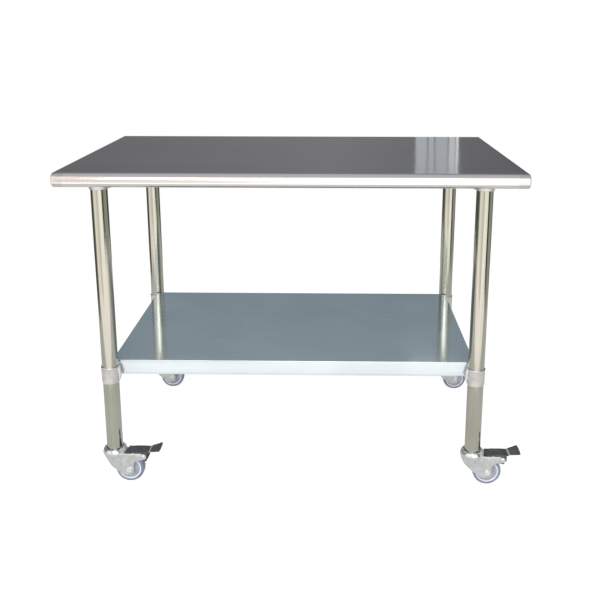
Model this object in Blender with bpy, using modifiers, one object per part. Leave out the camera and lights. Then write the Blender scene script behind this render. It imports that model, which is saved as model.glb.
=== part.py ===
"""Stainless work table on casters: rolled-edge top, four tube legs, undershelf and four swivel casters.

Metres, +Z up, the floor at z = 0. X runs along the table's length and +Y points to its rear edge.
"""
import math

import bmesh
import bpy
from mathutils import Vector

# --- driving dimensions, metres -------------------------------------------------------------
TOP_LENGTH = 1.2192
TOP_DEPTH = 0.762
TOP_HEIGHT = 0.902
EDGE_DROP = 0.038            # height of the rolled and folded edges
TOP_SHEET = 0.0015
TOP_LIP = 0.012              # return of the edges under the top
GAP = 0.0003                 # air between neighbouring pieces

LEG_INSET_X = 0.102          # leg axis from the end of the top
LEG_INSET_Y = 0.070          # leg axis from the front or rear edge
LEG_RADIUS = 0.02225
LEG_WALL = 0.0015
LEG_BOTTOM = 0.102
SLEEVE_PLAY = 0.0005         # radial play between a leg and the sleeves around it

SHELF_TOP = 0.360
SHELF_SHEET = 0.0012
SHELF_FLANGE = 0.042
SHELF_SIDE_INSET = 0.003     # shelf ends, inboard of the leg axes
SHELF_EDGE_INSET = 0.015     # shelf front and rear edges, inboard of the leg axes
SHELF_NOTCH = 0.029          # radius cut out of each shelf corner around the leg

CHANNEL_SHEET = 0.0015
CHANNEL_DEPTH = 0.025
CHANNEL_CROWN = 0.050
CHANNEL_BRIM = 0.020
CHANNEL_END_GAP = 0.002
SHELF_CHANNEL_INSET = 0.055  # end of the shelf's channel from the leg axes

COLLAR_TOP = 0.350
COLLAR_BOTTOM = 0.302
COLLAR_RADIUS_TOP = 0.0250
COLLAR_RADIUS_BOTTOM = 0.0239

SOCKET_PLATE = 0.080
SOCKET_PLATE_THICK = 0.005
SOCKET_LENGTH = 0.0249       # plate and sleeve together
SOCKET_WALL_TOP = 0.0050     # sleeve wall at the plate and at its open end
SOCKET_WALL_LOW = 0.0030
SCREW_RADIUS = 0.004
SCREW_LENGTH = 0.0075

WHEEL_RADIUS = 0.040
WHEEL_STEPS = 36
TREAD_HALF_WIDTH = 0.013
TREAD_INNER = 0.030
HUB_HALF_WIDTH = 0.0160
TRAIL = 0.042                # wheel axle behind the swivel axis
BLADE_INNER = 0.0170
BLADE_THICK = 0.0026
CROWN_RADIUS = 0.034
CROWN_TOP = 0.104
CROWN_PLATE = 0.0974         # upper face of the plate that turns on the stem
CROWN_PLATE_THICK = 0.003
STEM_RADIUS = 0.006
STEM_TOP = 0.168
AXLE_RADIUS = 0.004
AXLE_OVERHANG = 0.0085       # bolt end past the fork
HEX_RADIUS = 0.0074
BOLT_HEAD = 0.0050
NUT_THICK = 0.0065
INSERT_TOP = 0.158
INSERT_BOTTOM = 0.105
BRAKE_PIVOT = (0.084, 0.080)  # behind the swivel axis, above the floor
BRAKE_PIN_RADIUS = 0.003
PEDAL_REACH = 0.132          # pedal tip, behind the swivel axis
PEDAL_TOP = 0.0945
CHEEK_INSET = 0.0018         # middle of a pedal cheek, inside the fork's blade
CHEEK_THICK = 0.0024

ROUND_STEPS = 24
SMALL_STEPS = 12

# --- worked-out places ------------------------------------------------------------------------
LEG_X = TOP_LENGTH / 2 - LEG_INSET_X
LEG_Y = TOP_DEPTH / 2 - LEG_INSET_Y
SLEEVE_BORE = LEG_RADIUS + SLEEVE_PLAY
AXLE_HEIGHT = WHEEL_RADIUS * math.cos(math.pi / WHEEL_STEPS)
BLADE_OUTER = BLADE_INNER + BLADE_THICK
CHANNEL_FACE = TOP_HEIGHT - TOP_SHEET - GAP - CHANNEL_DEPTH
LEG_TOP = CHANNEL_FACE - GAP - SOCKET_PLATE_THICK - GAP
# The parked casters reach past the right end, so the table's middle lies left of the origin.
TABLE_MIDDLE_X = -(LEG_X + PEDAL_REACH - TOP_LENGTH / 2) / 2

CORNERS = {
    "front_left": (-1, -1),
    "front_right": (1, -1),
    "rear_left": (-1, 1),
    "rear_right": (1, 1),
}
BRAKED = ("front_left", "front_right")

MATERIALS = {
    "top_stainless": ((0.56, 0.56, 0.57), 0.28, 1.0),
    "leg_stainless": ((0.62, 0.61, 0.55), 0.25, 1.0),
    "shelf_sheet": ((0.48, 0.53, 0.57), 0.32, 1.0),
    "channel_galvanised": ((0.55, 0.57, 0.58), 0.50, 1.0),
    "cast_aluminium": ((0.78, 0.79, 0.79), 0.42, 1.0),
    "zinc_plate": ((0.70, 0.73, 0.71), 0.33, 1.0),
    "bolt_steel": ((0.80, 0.80, 0.80), 0.25, 1.0),
    "pedal_enamel": ((0.12, 0.14, 0.16), 0.45, 0.2),
    "tread_polyurethane": ((0.46, 0.46, 0.60), 0.35, 0.0),
    "hub_plastic": ((0.80, 0.80, 0.90), 0.40, 0.0),
    "brake_rubber": ((0.03, 0.03, 0.03), 0.80, 0.0),
    "insert_rubber": ((0.08, 0.08, 0.08), 0.75, 0.0),
}


def clear_scene():
    for obj in list(bpy.data.objects):
        bpy.data.objects.remove(obj, do_unlink=True)


def make_collection(name):
    collection = bpy.data.collections.new(name)
    bpy.context.scene.collection.children.link(collection)
    return collection


def make_materials():
    made = {}
    for name, (colour, roughness, metallic) in MATERIALS.items():
        material = bpy.data.materials.new(name)
        material.use_nodes = True
        shader = material.node_tree.nodes["Principled BSDF"]
        shader.inputs["Base Color"].default_value = (*colour, 1.0)
        shader.inputs["Roughness"].default_value = roughness
        shader.inputs["Metallic"].default_value = metallic
        made[name] = material
    return made


clear_scene()
parts = make_collection("stainless_work_table")
cutters = make_collection("cutters")
materials = make_materials()

table = bpy.data.objects.new("table_middle", None)
table.location = (TABLE_MIDDLE_X, 0, 0)
parts.objects.link(table)


# --- small tools --------------------------------------------------------------------------------
def object_from(bm, name, collection):
    mesh = bpy.data.meshes.new(name)
    bm.to_mesh(mesh)
    bm.free()
    obj = bpy.data.objects.new(name, mesh)
    collection.objects.link(obj)
    return obj


def as_cutter(obj):
    parts_of = list(obj.users_collection)
    for collection in parts_of:
        collection.objects.unlink(obj)
    cutters.objects.link(obj)
    obj.hide_render = True
    obj.display_type = "WIRE"
    return obj


def box(name, low, high):
    """A box between two corners."""
    bm = bmesh.new()
    bmesh.ops.create_cube(bm, size=1.0)
    low, high = Vector(low), Vector(high)
    bmesh.ops.scale(bm, vec=high - low, verts=bm.verts)
    bmesh.ops.translate(bm, vec=(low + high) / 2, verts=bm.verts)
    return object_from(bm, name, parts)


def turned(name, profile, steps=ROUND_STEPS):
    """A shape turned about Z from (radius, height) points, which run down the outer side.

    A profile that starts and ends on the axis stays open there; any other is closed.
    """
    bm = bmesh.new()
    points = [bm.verts.new((radius, 0.0, height)) for radius, height in profile]
    for start, end in zip(points, points[1:]):
        bm.edges.new((start, end))
    if profile[0][0] > 0:
        bm.edges.new((points[-1], points[0]))
    obj = object_from(bm, name, parts)
    screw = obj.modifiers.new("turn", "SCREW")
    screw.steps = steps
    screw.render_steps = steps
    screw.use_merge_vertices = True
    screw.merge_threshold = 0.00001
    return obj


def rod(name, radius, start, end, steps=SMALL_STEPS):
    """A plain round bar from one point to another."""
    start, end = Vector(start), Vector(end)
    along = end - start
    bm = bmesh.new()
    bmesh.ops.create_cone(
        bm, cap_ends=True, segments=steps, radius1=radius, radius2=radius, depth=along.length)
    turn = along.to_track_quat("Z", "Y").to_matrix()
    bmesh.ops.rotate(bm, matrix=turn, verts=bm.verts)
    bmesh.ops.translate(bm, vec=(start + end) / 2, verts=bm.verts)
    return object_from(bm, name, parts)


def plate(name, outline, middle, thickness, plane="XZ"):
    """A flat outline given a thickness: in X and Z about y = middle, or in X and Y about z = middle."""
    bm = bmesh.new()
    if plane == "XZ":
        low = [(x, middle - thickness / 2, z) for x, z in outline]
        rise = (0, thickness, 0)
    else:
        low = [(x, y, middle - thickness / 2) for x, y in outline]
        rise = (0, 0, thickness)
    face = bm.faces.new([bm.verts.new(point) for point in low])
    grown = bmesh.ops.extrude_face_region(bm, geom=[face])
    moved = [item for item in grown["geom"] if isinstance(item, bmesh.types.BMVert)]
    bmesh.ops.translate(bm, vec=rise, verts=moved)
    bmesh.ops.recalc_face_normals(bm, faces=bm.faces)
    return object_from(bm, name, parts)


def combine(obj, others, operation):
    """Join pieces to an object, or cut them out of it."""
    for other in others:
        as_cutter(other)
        change = obj.modifiers.new(operation.lower(), "BOOLEAN")
        change.operation = operation
        change.solver = "EXACT"
        change.object = other
    return obj


def finish(obj, material, place=(0, 0, 0), parent=table, turn=(0, 0, 0)):
    """Give a piece its final mesh, shading, material and place."""
    bpy.context.view_layer.update()
    evaluated = obj.evaluated_get(bpy.context.evaluated_depsgraph_get())
    mesh = bpy.data.meshes.new_from_object(evaluated)
    obj.modifiers.clear()
    obj.data = mesh
    mesh.name = obj.name
    mesh.shade_smooth()
    mesh.set_sharp_from_angle(angle=math.radians(35))
    mesh.materials.clear()
    mesh.materials.append(materials[material])
    obj.location = place
    obj.rotation_euler = turn
    obj.parent = parent
    return obj


def copied(obj, name, place, parent=table):
    """The same piece again, as its own object that shares the mesh."""
    twin = bpy.data.objects.new(name, obj.data)
    twin.location = place
    twin.rotation_euler = obj.rotation_euler
    twin.parent = parent
    parts.objects.link(twin)
    return twin


def arc(centre, radius, start, end, count):
    """Points on an arc, from one angle in degrees to another."""
    angles = [math.radians(start + (end - start) * i / count) for i in range(count + 1)]
    return [(centre[0] + radius * math.cos(a), centre[1] + radius * math.sin(a)) for a in angles]


# --- top ----------------------------------------------------------------------------------------
def make_top_panel():
    """One sheet: half-round rolls at front and rear, straight folded ends, a return all round."""
    bm = bmesh.new()
    bmesh.ops.create_cube(bm, size=1.0)
    bmesh.ops.scale(bm, vec=(TOP_LENGTH, TOP_DEPTH, EDGE_DROP), verts=bm.verts)
    bmesh.ops.translate(bm, vec=(0, 0, TOP_HEIGHT - EDGE_DROP / 2), verts=bm.verts)
    long_edges = [e for e in bm.edges if abs(e.verts[0].co.x - e.verts[1].co.x) > TOP_LENGTH / 2]
    bmesh.ops.bevel(
        bm, geom=long_edges, offset=EDGE_DROP * 0.49, offset_type="OFFSET", segments=6,
        profile=0.5, affect="EDGES", material=-1)
    bm.faces.ensure_lookup_table()
    under = min(bm.faces, key=lambda face: (round(face.calc_center_median().z, 5), -face.calc_area()))
    bmesh.ops.inset_region(bm, faces=[under], thickness=TOP_LIP, use_even_offset=True)
    bmesh.ops.delete(bm, geom=[under], context="FACES_ONLY")
    obj = object_from(bm, "top_panel", parts)
    wall = obj.modifiers.new("sheet", "SOLIDIFY")
    wall.thickness = TOP_SHEET
    wall.offset = -1.0
    wall.use_even_offset = True
    return finish(obj, "top_stainless")


def make_channel(name, length, upper_face, along_x=True):
    """A hat channel hung under a sheet: two brims against the sheet, the crown below."""
    half, brim = CHANNEL_CROWN / 2, CHANNEL_CROWN / 2 + CHANNEL_BRIM
    high, low = upper_face - CHANNEL_SHEET / 2, upper_face - CHANNEL_DEPTH + CHANNEL_SHEET / 2
    section = [(-brim, high), (-half, high), (-half, low), (half, low), (half, high), (brim, high)]
    bm = bmesh.new()
    points = [bm.verts.new((-length / 2, across, height)) for across, height in section]
    edges = [bm.edges.new(pair) for pair in zip(points, points[1:])]
    grown = bmesh.ops.extrude_edge_only(bm, edges=edges)
    moved = [item for item in grown["geom"] if isinstance(item, bmesh.types.BMVert)]
    bmesh.ops.translate(bm, vec=(length, 0, 0), verts=moved)
    obj = object_from(bm, name, parts)
    wall = obj.modifiers.new("sheet", "SOLIDIFY")
    wall.thickness = CHANNEL_SHEET
    wall.offset = 0.0
    wall.use_even_offset = True
    turn = (0, 0, 0) if along_x else (0, 0, math.pi / 2)
    return finish(obj, "channel_galvanised", turn=turn)


def make_leg_socket(name, inward):
    """A plate under the cross channel with a sleeve that takes the leg's end."""
    face = CHANNEL_FACE - GAP
    under_plate = face - SOCKET_PLATE_THICK
    half, merge, screw_rise = SOCKET_PLATE / 2, 0.001, 0.0085
    obj = box(name, (-half, -half, under_plate), (half, half, face))
    sleeve = turned(name + "_sleeve", [
        (SLEEVE_BORE + SOCKET_WALL_TOP, under_plate + merge),
        (SLEEVE_BORE + SOCKET_WALL_LOW, face - SOCKET_LENGTH),
        (SLEEVE_BORE, face - SOCKET_LENGTH),
        (SLEEVE_BORE, under_plate + merge),
    ])
    hole_height = face - SOCKET_LENGTH + screw_rise
    hole = rod(
        name + "_hole", SCREW_RADIUS + GAP, (0, 0, hole_height), (inward * 2 * LEG_RADIUS, 0, hole_height))
    combine(obj, [sleeve], "UNION")
    return combine(obj, [hole], "DIFFERENCE"), hole_height


def make_set_screw(name, height, inward, place):
    """A set screw that points at the leg from the inner side."""
    tip = LEG_RADIUS + GAP
    obj = rod(name, SCREW_RADIUS, (inward * tip, 0, height), (inward * (tip + SCREW_LENGTH), 0, height))
    return finish(obj, "bolt_steel", place)


def make_leg(name, place):
    obj = turned(name, [
        (LEG_RADIUS, LEG_TOP),
        (LEG_RADIUS, LEG_BOTTOM),
        (LEG_RADIUS - LEG_WALL, LEG_BOTTOM),
        (LEG_RADIUS - LEG_WALL, LEG_TOP),
    ])
    return finish(obj, "leg_stainless", place)


# --- undershelf -----------------------------------------------------------------------------------
def make_shelf_panel():
    """A folded tray, open below, with a round notch at each leg."""
    half_x, half_y = LEG_X - SHELF_SIDE_INSET, LEG_Y - SHELF_EDGE_INSET
    bm = bmesh.new()
    bmesh.ops.create_cube(bm, size=1.0)
    bmesh.ops.scale(bm, vec=(2 * half_x, 2 * half_y, SHELF_FLANGE), verts=bm.verts)
    bmesh.ops.translate(bm, vec=(0, 0, SHELF_TOP - SHELF_FLANGE / 2), verts=bm.verts)
    under = min(bm.faces, key=lambda face: face.calc_center_median().z)
    bmesh.ops.delete(bm, geom=[under], context="FACES_ONLY")
    obj = object_from(bm, "shelf_panel", parts)
    wall = obj.modifiers.new("sheet", "SOLIDIFY")
    wall.thickness = SHELF_SHEET
    wall.offset = -1.0
    wall.use_even_offset = True
    notches = []
    for corner, (side, end) in CORNERS.items():
        low = (side * LEG_X, end * LEG_Y, SHELF_TOP - SHELF_FLANGE - 0.01)
        high = (side * LEG_X, end * LEG_Y, SHELF_TOP + 0.01)
        notches.append(rod("shelf_notch_" + corner, SHELF_NOTCH, low, high, ROUND_STEPS))
    combine(obj, notches, "DIFFERENCE")
    return finish(obj, "shelf_sheet")


def make_shelf_collar(name, side, end):
    """A cast sleeve on the leg with a web and a pad that carry the shelf's corner."""
    pad_top = SHELF_TOP - SHELF_SHEET - GAP
    pad_thick = 0.004
    obj = turned(name, [
        (COLLAR_RADIUS_TOP, COLLAR_TOP),
        (COLLAR_RADIUS_BOTTOM, COLLAR_BOTTOM),
        (SLEEVE_BORE, COLLAR_BOTTOM),
        (SLEEVE_BORE, COLLAR_TOP),
    ])
    inward = Vector((-side, -end)).normalized()
    across = Vector((-inward.y, inward.x))
    web_half, web_start, web_end = 0.003, SLEEVE_BORE + 0.0006, 0.085
    web_outline = [
        inward * web_start - across * web_half, inward * web_end - across * web_half,
        inward * web_end + across * web_half, inward * web_start + across * web_half]
    web_rise = 0.012
    web_low, web_high = COLLAR_BOTTOM + web_rise, pad_top - pad_thick / 2
    web = plate(name + "_web", web_outline, (web_low + web_high) / 2, web_high - web_low, "XY")
    flange_gap = 0.001
    near_x = SHELF_SIDE_INSET + SHELF_SHEET + flange_gap
    near_y = SHELF_EDGE_INSET + SHELF_SHEET + flange_gap
    reach, cut, end_x, end_y = 0.082, 0.027, 0.012, 0.008
    pad_outline = [
        (-side * x, -end * y) for x, y in (
            (near_x, cut), (cut, near_y), (reach, near_y), (reach, near_y + end_y),
            (near_x + end_x, reach), (near_x, reach))]
    pad = plate(name + "_pad", pad_outline, pad_top - pad_thick / 2, pad_thick, "XY")
    combine(obj, [web, pad], "UNION")
    height = (COLLAR_TOP + COLLAR_BOTTOM) / 2 - 0.001
    hole = rod(name + "_hole", SCREW_RADIUS + GAP, (0, 0, height), (-side * 2 * LEG_RADIUS, 0, height))
    combine(obj, [hole], "DIFFERENCE")
    return obj, height


# --- casters --------------------------------------------------------------------------------------
def make_insert(name, place):
    """The rubber plug that grips the inside of the leg."""
    outer = LEG_RADIUS - LEG_WALL - SLEEVE_PLAY
    bore = STEM_RADIUS + 0.0004
    profile = [(outer, INSERT_TOP), (outer, INSERT_BOTTOM), (bore, INSERT_BOTTOM), (bore, INSERT_TOP)]
    obj = turned(name, profile, SMALL_STEPS)
    return finish(obj, "insert_rubber", place)


def make_stem(name, place):
    """The fixed stem: a shank in the leg, a flange under it, and a head that holds the crown."""
    flange_top = LEG_BOTTOM - GAP
    crown_top = CROWN_PLATE + GAP
    crown_under = CROWN_PLATE - CROWN_PLATE_THICK - GAP
    neck, head = 0.0072, 0.014
    obj = turned(name, [
        (0.0, STEM_TOP), (STEM_RADIUS, STEM_TOP), (STEM_RADIUS, flange_top),
        (LEG_RADIUS - 0.0008, flange_top), (LEG_RADIUS - 0.0008, crown_top),
        (neck, crown_top), (neck, crown_under), (head, crown_under),
        (head, crown_under - 0.004), (0.0, crown_under - 0.004)], SMALL_STEPS)
    return finish(obj, "zinc_plate", place)


def blade_outline(has_ear):
    """The side of the fork, in X behind the swivel axis and Z above the floor."""
    low_end = arc((0.036, 0.040), 0.0195, -125, -30, 8)
    outline = [(-0.026, 0.088), (-0.029, 0.070), (-0.024, 0.062)] + low_end
    if has_ear:
        ear = arc((0.0825, 0.0785), 0.0090, -75, 60, 8)
        outline += [(0.0555, 0.060), (0.062, 0.066)] + ear + [(0.076, 0.0885), (0.026, 0.0885)]
    else:
        outline += [(0.050, 0.066), (0.033, 0.080), (0.026, 0.088)]
    return outline


def make_fork(name, has_ear):
    """A round crown on the stem with a blade down each side of the wheel."""
    wall = 0.0025
    plate_under = CROWN_PLATE - CROWN_PLATE_THICK
    hole, cup = 0.0076, LEG_RADIUS + 0.0013
    obj = turned(name, [
        (hole, CROWN_PLATE), (cup, CROWN_PLATE), (cup, CROWN_TOP), (0.0265, CROWN_TOP),
        (0.0315, 0.1000), (CROWN_RADIUS, 0.0930), (CROWN_RADIUS, 0.0870), (0.0300, 0.0740),
        (0.0300 - wall, 0.0740), (CROWN_RADIUS - wall, 0.0870), (CROWN_RADIUS - wall, 0.0915),
        (0.0290, plate_under), (hole, plate_under)])
    middle = (BLADE_INNER + BLADE_OUTER) / 2
    blades = [
        plate(f"{name}_blade_{side}", blade_outline(has_ear), side * middle, BLADE_THICK)
        for side in (-1, 1)]
    combine(obj, blades, "UNION")
    reach, clearance = 2 * BLADE_OUTER, 0.003
    arch_half = TREAD_HALF_WIDTH + clearance
    arch = rod(
        name + "_arch", WHEEL_RADIUS + clearance, (TRAIL, -arch_half, AXLE_HEIGHT),
        (TRAIL, arch_half, AXLE_HEIGHT), ROUND_STEPS)
    axle_hole = rod(
        name + "_axle_hole", AXLE_RADIUS + GAP, (TRAIL, -reach, AXLE_HEIGHT), (TRAIL, reach, AXLE_HEIGHT))
    cuts = [arch, axle_hole]
    if has_ear:
        x, z = BRAKE_PIVOT
        cuts.append(rod(name + "_pin_hole", BRAKE_PIN_RADIUS + GAP, (x, -reach, z), (x, reach, z)))
    return combine(obj, cuts, "DIFFERENCE")


def make_tyre(name):
    """The tread: a crowned ring, turned so that a flat facet meets the floor."""
    soft, corner = 0.004, 0.0012
    return turned(name, [
        (WHEEL_RADIUS - soft, TREAD_HALF_WIDTH), (WHEEL_RADIUS - corner, TREAD_HALF_WIDTH - corner),
        (WHEEL_RADIUS, TREAD_HALF_WIDTH - soft), (WHEEL_RADIUS, soft - TREAD_HALF_WIDTH),
        (WHEEL_RADIUS - corner, corner - TREAD_HALF_WIDTH), (WHEEL_RADIUS - soft, -TREAD_HALF_WIDTH),
        (TREAD_INNER, -TREAD_HALF_WIDTH), (TREAD_INNER, TREAD_HALF_WIDTH)], WHEEL_STEPS)


def make_hub(name):
    """The wheel centre: a rim, a thinner web and a long boss around the axle."""
    rim, bore = TREAD_INNER - GAP, AXLE_RADIUS + GAP
    web_half, rim_half = 0.0080, TREAD_HALF_WIDTH - 0.001
    half = [
        (0.0095, HUB_HALF_WIDTH), (0.0105, web_half), (0.0245, web_half),
        (0.0260, rim_half), (rim, rim_half)]
    mirrored = [(radius, -height) for radius, height in reversed(half)]
    return turned(name, half + mirrored + [(bore, -HUB_HALF_WIDTH), (bore, HUB_HALF_WIDTH)])


def make_axle(name):
    """The axle bolt, with its head on the front side."""
    head_face = BLADE_OUTER + GAP
    obj = rod(name, AXLE_RADIUS, (0, -head_face - BOLT_HEAD / 2, 0), (0, BLADE_OUTER + AXLE_OVERHANG, 0))
    head = rod(name + "_head", HEX_RADIUS, (0, -head_face - BOLT_HEAD, 0), (0, -head_face, 0), 6)
    return combine(obj, [head], "UNION")


def make_nut(name):
    face = BLADE_OUTER + GAP
    obj = rod(name, HEX_RADIUS, (0, face, 0), (0, face + NUT_THICK, 0), 6)
    hole = rod(name + "_hole", AXLE_RADIUS + GAP, (0, 0, 0), (0, face + 2 * NUT_THICK, 0))
    return combine(obj, [hole], "DIFFERENCE")


def make_pedal(name):
    """The foot lever, in X and Z from its pivot pin: a tread plate, an upturned toe and two cheeks."""
    pivot_x, pivot_z = BRAKE_PIVOT
    thick = 0.003
    near, bend, tip = CROWN_RADIUS + 0.0022, 0.102, PEDAL_REACH
    top = PEDAL_TOP - pivot_z
    half, toe_half = 0.0205, 0.0270
    obj = box(name, (near - pivot_x, -half, top - thick), (bend - pivot_x, half, top))
    toe_rise = 0.008
    bm = bmesh.new()
    bmesh.ops.create_cube(bm, size=1.0)
    for vert in bm.verts:
        outer = vert.co.x > 0
        across = toe_half if outer else half
        vert.co.y = math.copysign(across, vert.co.y)
        height = top + (toe_rise if outer else 0.0)
        vert.co.z = height if vert.co.z > 0 else height - thick
        vert.co.x = (tip if outer else bend - 0.004) - pivot_x
    toe = object_from(bm, name + "_toe", parts)
    cheek_outline = [
        (-0.012, top - thick / 2), (-0.0075, -0.0045), (-0.0035, -0.0080),
        (0.0045, -0.0070), (0.0085, 0.0), (0.0115, top - thick / 2)]
    cheek_middle = BLADE_INNER - CHEEK_INSET
    cheeks = [
        plate(f"{name}_cheek_{side}", cheek_outline, side * cheek_middle, CHEEK_THICK)
        for side in (-1, 1)]
    combine(obj, [toe] + cheeks, "UNION")
    hole = rod(name + "_hole", BRAKE_PIN_RADIUS + GAP, (0, -toe_half, 0), (0, toe_half, 0))
    return combine(obj, [hole], "DIFFERENCE")


def make_brake_pin(name):
    """The pedal's pivot pin, riveted over at both ends."""
    reach = BLADE_OUTER + GAP
    head_radius, head_thick = 0.0046, 0.0018
    ends = reach + head_thick / 2
    obj = rod(name, BRAKE_PIN_RADIUS, (0, -ends, 0), (0, ends, 0))
    heads = [
        rod(f"{name}_head_{side}", head_radius, (0, side * reach, 0), (0, side * (reach + head_thick), 0))
        for side in (-1, 1)]
    return combine(obj, heads, "UNION")


def make_brake_shoe(name):
    """The rubber block between the cheeks that closes on the tread; its face follows the wheel."""
    clearance = 0.0024
    half = BLADE_INNER - CHEEK_INSET - CHEEK_THICK / 2 - GAP
    low, high = (-0.0115, -half, -0.0170), (0.0060, half, -0.0042)
    obj = box(name, low, high)
    pivot_x, pivot_z = BRAKE_PIVOT
    centre = (TRAIL - pivot_x, AXLE_HEIGHT - pivot_z)
    tread = rod(
        name + "_tread", WHEEL_RADIUS + clearance, (centre[0], -BLADE_INNER, centre[1]),
        (centre[0], BLADE_INNER, centre[1]), WHEEL_STEPS)
    return combine(obj, [tread], "DIFFERENCE")


def make_caster_pieces():
    """One of each moulded or turned piece, to be copied to every corner."""
    return {
        "tyre": (make_tyre, "tread_polyurethane"),
        "wheel_hub": (make_hub, "hub_plastic"),
        "axle_bolt": (make_axle, "bolt_steel"),
        "axle_nut": (make_nut, "bolt_steel"),
    }


# --- assembly -------------------------------------------------------------------------------------
make_top_panel()
top_under = TOP_HEIGHT - TOP_SHEET - GAP
cross_length = TOP_DEPTH - 2 * (EDGE_DROP - CHANNEL_END_GAP)
cross_half_width = CHANNEL_CROWN / 2 + CHANNEL_BRIM
make_channel("top_channel_long", 2 * (LEG_X - cross_half_width - CHANNEL_END_GAP), top_under)
for hand, side in (("left", -1), ("right", 1)):
    channel = make_channel("top_channel_" + hand, cross_length, top_under, along_x=False)
    channel.location.x = side * LEG_X

make_shelf_panel()
shelf_under = SHELF_TOP - SHELF_SHEET - GAP
make_channel("shelf_channel", 2 * (LEG_X - SHELF_CHANNEL_INSET), shelf_under)

masters = {}
for corner, (side, end) in CORNERS.items():
    leg_place = (side * LEG_X, end * LEG_Y, 0)
    socket, socket_screw_height = make_leg_socket("leg_socket_" + corner, -side)
    finish(socket, "cast_aluminium", leg_place)
    make_set_screw("socket_screw_" + corner, socket_screw_height, -side, leg_place)
    make_leg("leg_" + corner, leg_place)
    collar, collar_screw_height = make_shelf_collar("shelf_collar_" + corner, side, end)
    finish(collar, "cast_aluminium", leg_place)
    make_set_screw("shelf_screw_" + corner, collar_screw_height, -side, leg_place)
    make_insert("caster_insert_" + corner, leg_place)
    make_stem("caster_stem_" + corner, leg_place)

    # the swivel turns about the leg axis, and the wheel about its axle
    swivel = bpy.data.objects.new("swivel_axis_" + corner, None)
    swivel.location = leg_place
    swivel.parent = table
    parts.objects.link(swivel)
    braked = corner in BRAKED
    finish(make_fork("caster_fork_" + corner, braked), "zinc_plate", parent=swivel)
    axle_place = (TRAIL, 0, AXLE_HEIGHT)
    wheel_turn = (math.pi / 2, -math.pi / WHEEL_STEPS, 0)
    for kind, (maker, material) in make_caster_pieces().items():
        name = f"{kind}_{corner}"
        if kind in masters:
            copied(masters[kind], name, axle_place, swivel)
            continue
        turn = wheel_turn if kind in ("tyre", "wheel_hub") else (0, 0, 0)
        masters[kind] = finish(maker(name), material, axle_place, swivel, turn)
    if braked:
        pivot = (BRAKE_PIVOT[0], 0, BRAKE_PIVOT[1])
        finish(make_pedal("brake_pedal_" + corner), "pedal_enamel", pivot, swivel)
        finish(make_brake_pin("brake_pin_" + corner), "bolt_steel", pivot, swivel)
        finish(make_brake_shoe("brake_shoe_" + corner), "brake_rubber", pivot, swivel)
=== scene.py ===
# Looks for a stainless work table on casters: rolled top, tube legs, undershelf and braked wheels.
# Metres, +Z up, the floor at z = 0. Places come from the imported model's boxes.
import math

import bmesh
import bpy
from mathutils import Matrix, Vector


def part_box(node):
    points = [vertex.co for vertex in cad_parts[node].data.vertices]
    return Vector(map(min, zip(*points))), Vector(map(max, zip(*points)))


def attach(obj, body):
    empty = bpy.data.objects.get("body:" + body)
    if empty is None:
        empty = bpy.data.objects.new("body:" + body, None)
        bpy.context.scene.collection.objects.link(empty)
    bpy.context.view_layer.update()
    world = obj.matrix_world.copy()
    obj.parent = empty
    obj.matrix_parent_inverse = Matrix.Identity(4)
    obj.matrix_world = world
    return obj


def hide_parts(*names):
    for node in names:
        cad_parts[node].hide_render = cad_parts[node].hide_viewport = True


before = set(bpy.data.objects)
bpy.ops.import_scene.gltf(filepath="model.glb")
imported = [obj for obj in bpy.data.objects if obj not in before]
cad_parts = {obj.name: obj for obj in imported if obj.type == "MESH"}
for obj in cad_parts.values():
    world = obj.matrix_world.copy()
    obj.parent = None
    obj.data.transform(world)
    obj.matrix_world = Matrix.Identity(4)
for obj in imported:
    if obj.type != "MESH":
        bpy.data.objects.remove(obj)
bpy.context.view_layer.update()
print("frame loaded with", len(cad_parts), "nodes")

corners = {"front_left": (-1, -1), "front_right": (1, -1), "rear_left": (-1, 1), "rear_right": (1, 1)}


def middleOf(node):
    return sum(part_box(node), Vector()) / 2


def titled(words):
    return "".join(word.capitalize() for word in words.split("_"))


def mm(points):
    # the longer profiles are written in millimetres
    return [(a / 1000, b / 1000) for a, b in points]


def operator(operation, swapped=False):
    def apply(self, other):
        return self.sum(operation, *((other, self) if swapped else (self, other)))
    return apply


class Wire:
    # a socket that takes part in sums; each operator adds a Math node
    def __init__(self, tree, socket=None):
        self.tree = tree
        self.socket = socket

    def add(self, kind, settings=None, sockets=None, out=0):
        node = self.tree.nodes.new("ShaderNode" + kind)
        for name, value in (settings or {}).items():
            if name == "stops":
                ramp = node.color_ramp.elements
                while len(ramp) < len(value):
                    ramp.new(1.0)
                for stop, (place, colour) in zip(ramp, value):
                    stop.position = place
                    stop.color = (*colour, 1.0)
            else:
                setattr(node, name, value)
        for name, value in (sockets or {}).items():
            if isinstance(value, Wire):
                self.tree.links.new(value.socket, node.inputs[name])
            else:
                node.inputs[name].default_value = value
        return Wire(self.tree, node.outputs[out])

    def sum(self, operation, *values):
        return self.add("Math", {"operation": operation}, dict(enumerate(values)))

    __add__, __radd__ = operator("ADD"), operator("ADD", True)
    __sub__, __rsub__ = operator("SUBTRACT"), operator("SUBTRACT", True)
    __mul__, __rmul__ = operator("MULTIPLY"), operator("MULTIPLY", True)
    __truediv__ = operator("DIVIDE")

    def __abs__(self):
        return self.sum("ABSOLUTE", self)

    def step(self, start, end):
        # 0 below start and 1 above end, smooth between
        settings = {"interpolation_type": "SMOOTHSTEP"}
        return self.add("MapRange", settings, {"Value": self, "From Min": start, "From Max": end})


def startMaterial(name, look):
    material = bpy.data.materials.new(name)
    material.use_nodes = True
    shader = material.node_tree.nodes["Principled BSDF"]
    shader.inputs["Metallic"].default_value = look.get("metallic", 0.0)
    for socket, value in look.get("fixed", {}).items():
        shader.inputs[socket].default_value = value
    return material, Wire(material.node_tree).add("TexCoord", out="Object")


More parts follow.
